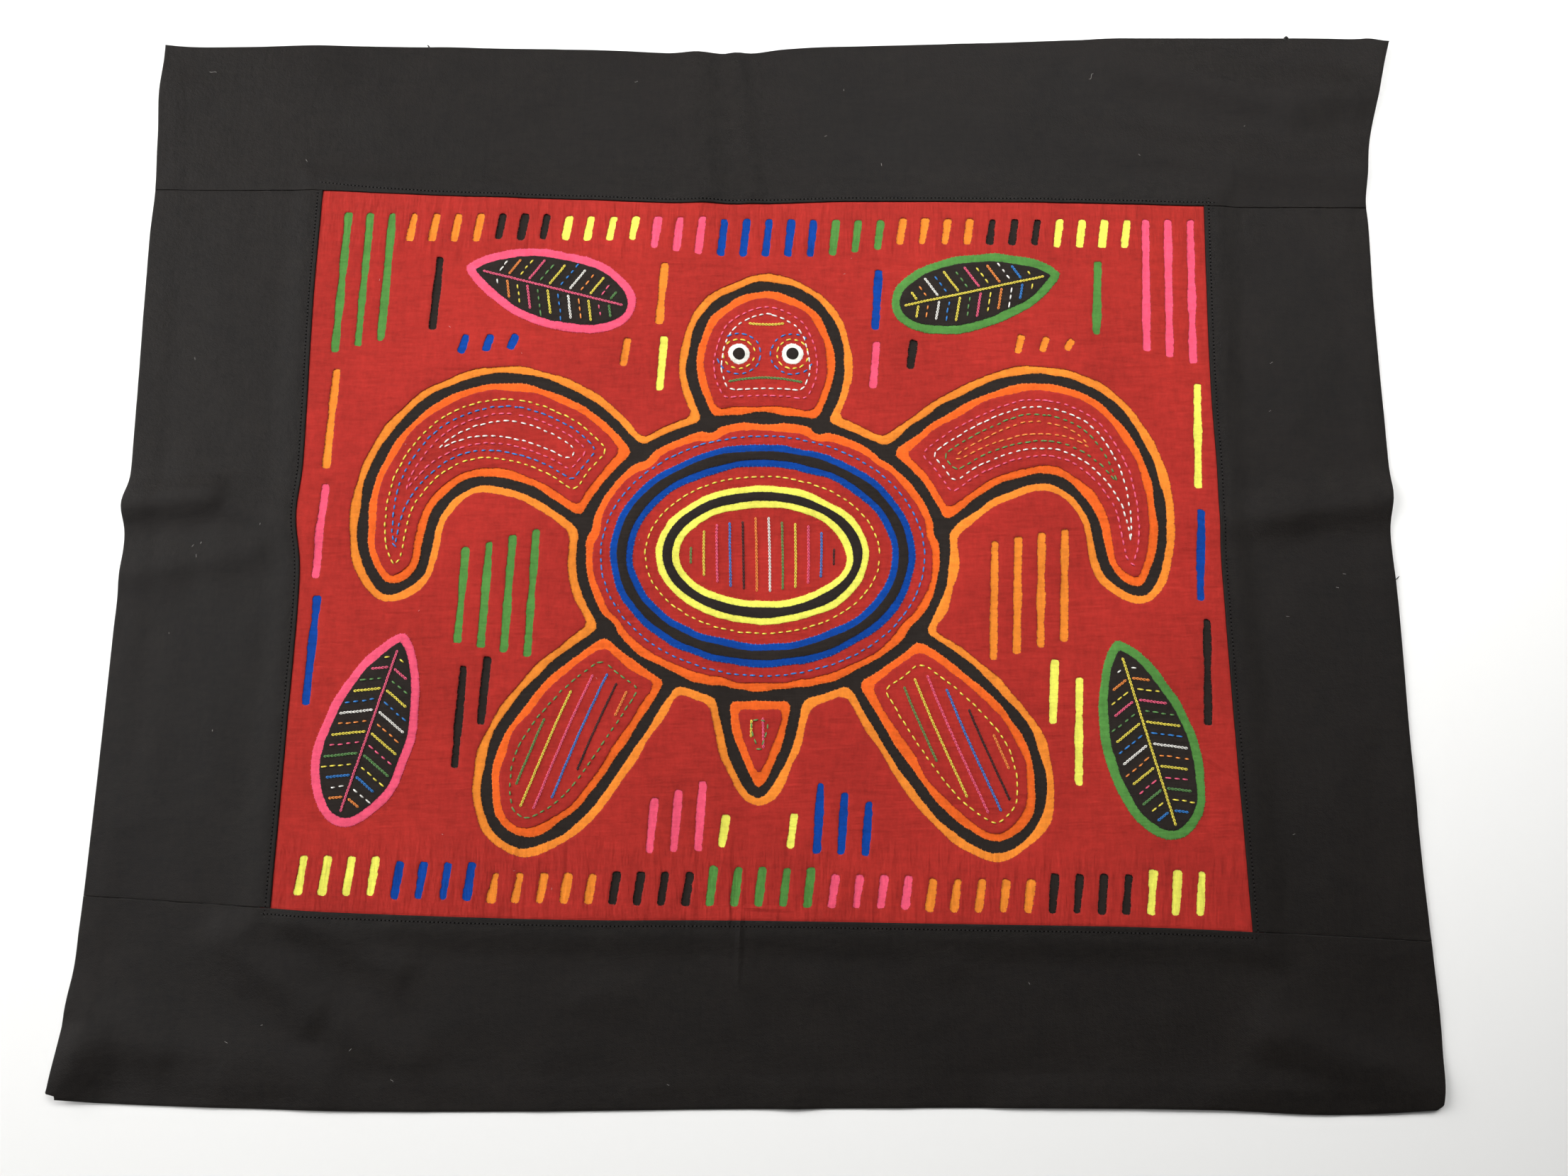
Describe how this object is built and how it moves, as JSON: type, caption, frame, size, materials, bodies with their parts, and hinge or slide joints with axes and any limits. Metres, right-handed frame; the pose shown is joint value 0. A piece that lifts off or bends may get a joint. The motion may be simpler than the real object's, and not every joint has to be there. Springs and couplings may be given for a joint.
{
  "type": "framed mola panel",
  "caption": "Layered and cut cotton mola panel with a red ground, framed by black cotton strips with turned outer hems, lying flat.",
  "frame": {"origin": "middle of the panel's bounding box, on the surface it lies on", "axes": "+X along the panel's width, +Y up the design towards the top strip, +Z out of the face"},
  "size_m": [0.6208, 0.5207, 0.0057],
  "materials": {
    "red_cotton": "matt plain-weave cotton, red top layer over orange and black layers",
    "black_cotton": "matt black cotton twill"
  },
  "bodies": {
    "root": {"mola_panel": "red_cotton", "border_top": "black_cotton", "border_bottom": "black_cotton", "border_left": "black_cotton", "border_right": "black_cotton"}
  },
  "joints": []
}
